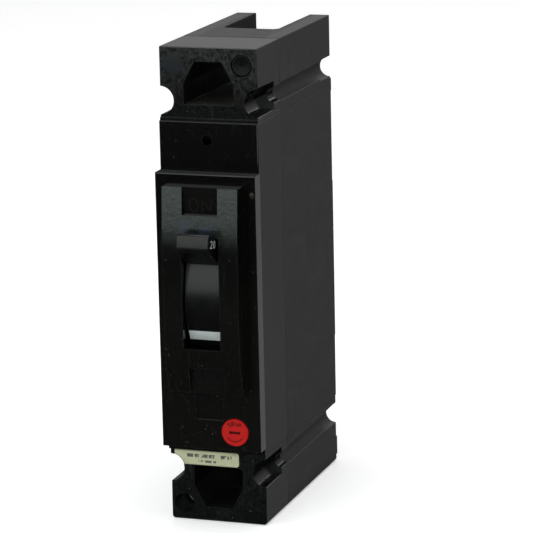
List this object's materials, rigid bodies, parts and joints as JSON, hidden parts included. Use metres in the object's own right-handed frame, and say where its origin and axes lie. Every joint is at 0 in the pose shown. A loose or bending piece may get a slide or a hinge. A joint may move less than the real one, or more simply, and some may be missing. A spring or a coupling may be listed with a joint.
{
  "type": "molded case circuit breaker",
  "caption": "Narrow single-pole moulded-case circuit breaker with a toggle handle, a round red trip button, stepped front, split terminal ends and half-round mounting grooves.",
  "frame": {"origin": "centre of the bounding box in plan, at the load end that the breaker stands on", "axes": "+Z from the load end to the line end, -Y out of the front with the handle, +X to the right seen from the front"},
  "size_m": [0.035, 0.0985, 0.162],
  "materials": {
    "cover_phenolic": "semi-gloss moulded phenolic, dusty",
    "base_phenolic": "satin moulded phenolic",
    "handle_phenolic": "semi-gloss",
    "indicator_white": "matte white",
    "button_red": "semi-gloss red",
    "label_cream": "matte printed label, blank",
    "sealing_compound": "dull black",
    "brass": "dull brass",
    "steel": "zinc-plated steel",
    "dark_steel": "darkened steel",
    "copper": "bare copper",
    "silver": "silver alloy contact",
    "bimetal": "rolled strip",
    "aluminium": "extruded, plain",
    "fibre": "vulcanised fibre"
  },
  "bodies": {
    "enclosure": {"base_housing": "base_phenolic", "front_cover": "cover_phenolic", "cover_screw_upper_right": "steel", "cover_screw_upper_left": "steel", "cover_screw_lower_left": "steel", "seal_plug_upper_left": "sealing_compound", "seal_plug_upper_right": "sealing_compound", "escutcheon_pin": "brass", "rating_label": "label_cream", "line_lug": "aluminium", "load_lug": "aluminium", "line_strap": "copper", "load_strap": "copper", "stationary_contact": "silver", "arc_plate_1": "dark_steel", "arc_plate_2": "dark_steel", "arc_plate_3": "dark_steel", "arc_plate_4": "dark_steel", "arc_plate_5": "dark_steel", "arc_plate_6": "dark_steel", "arc_plate_7": "dark_steel", "arc_chute_side_left": "fibre", "arc_chute_side_right": "fibre", "mechanism_frame": "steel", "handle_pivot_pin": "steel", "contact_arm_pin": "steel", "cradle_pin": "steel", "cradle": "dark_steel", "trip_bar_pin": "steel", "bimetal": "bimetal", "magnet_yoke": "dark_steel", "armature_pin": "steel", "flexible_braid": "copper", "trip_button_spring": "steel"},
    "handle": {"handle": "handle_phenolic", "handle_indicator_strip": "indicator_white", "crank_pin": "steel", "toggle_spring": "steel"},
    "toggle_links": {"toggle_link_left": "steel", "toggle_link_right": "steel"},
    "contact_arm": {"contact_arm": "copper", "moving_contact": "silver", "link_pin": "steel"},
    "trip_button": {"trip_button": "button_red"},
    "trip_bar": {"trip_bar": "base_phenolic", "calibration_screw": "brass"},
    "armature": {"armature": "dark_steel"},
    "line_lug_screw": {"line_lug_screw": "steel"},
    "load_lug_screw": {"load_lug_screw": "steel"}
  },
  "joints": [
    {"name": "handle_swing", "type": "hinge", "parent": "enclosure", "child": "handle", "pos_m": [0, -0.0088, 0.079], "axis": [1, 0, 0], "range_deg": [0, 47.8], "deforming": ["toggle_spring"]},
    {"name": "toggle_link_turn", "type": "hinge", "parent": "handle", "child": "toggle_links", "pos_m": [0, -0.0041, 0.07253], "axis": [1, 0, 0], "range_deg": [-64, 0]},
    {"name": "contact_arm_turn", "type": "hinge", "parent": "enclosure", "child": "contact_arm", "pos_m": [0, 0.0242, 0.088], "axis": [1, 0, 0], "range_deg": [0, 30.1], "deforming": ["flexible_braid"]},
    {"name": "trip_button_press", "type": "slide", "parent": "enclosure", "child": "trip_button", "axis": [0, 1, 0], "range_m": [0, 0.0025], "stiffness_N_per_m": 300, "deforming": ["trip_button_spring"]},
    {"name": "trip_bar_turn", "type": "hinge", "parent": "enclosure", "child": "trip_bar", "pos_m": [0, -0.0058, 0.046], "axis": [1, 0, 0], "range_deg": [0, 13.1]},
    {"name": "armature_turn", "type": "hinge", "parent": "enclosure", "child": "armature", "pos_m": [0, -0.0004, 0.0376], "axis": [-1, 0, 0], "range_deg": [0, 4], "stiffness_Nm_per_rad": 0.02},
    {"name": "line_lug_screw_turn", "type": "hinge", "parent": "enclosure", "child": "line_lug_screw", "pos_m": [0, 0.0142, 0.15], "axis": [0, 1, 0], "continuous": true},
    {"name": "load_lug_screw_turn", "type": "hinge", "parent": "enclosure", "child": "load_lug_screw", "pos_m": [0, 0.0142, 0.012], "axis": [0, 1, 0], "continuous": true}
  ],
  "couplings": [
    {"joint": "contact_arm_turn", "follows": "handle_swing", "ratio": 0.6276},
    {"joint": "toggle_link_turn", "follows": "handle_swing", "ratio": -1.3326},
    {"joint": "trip_bar_turn", "follows": "trip_button_press", "rad_per_m": 90.8}
  ]
}
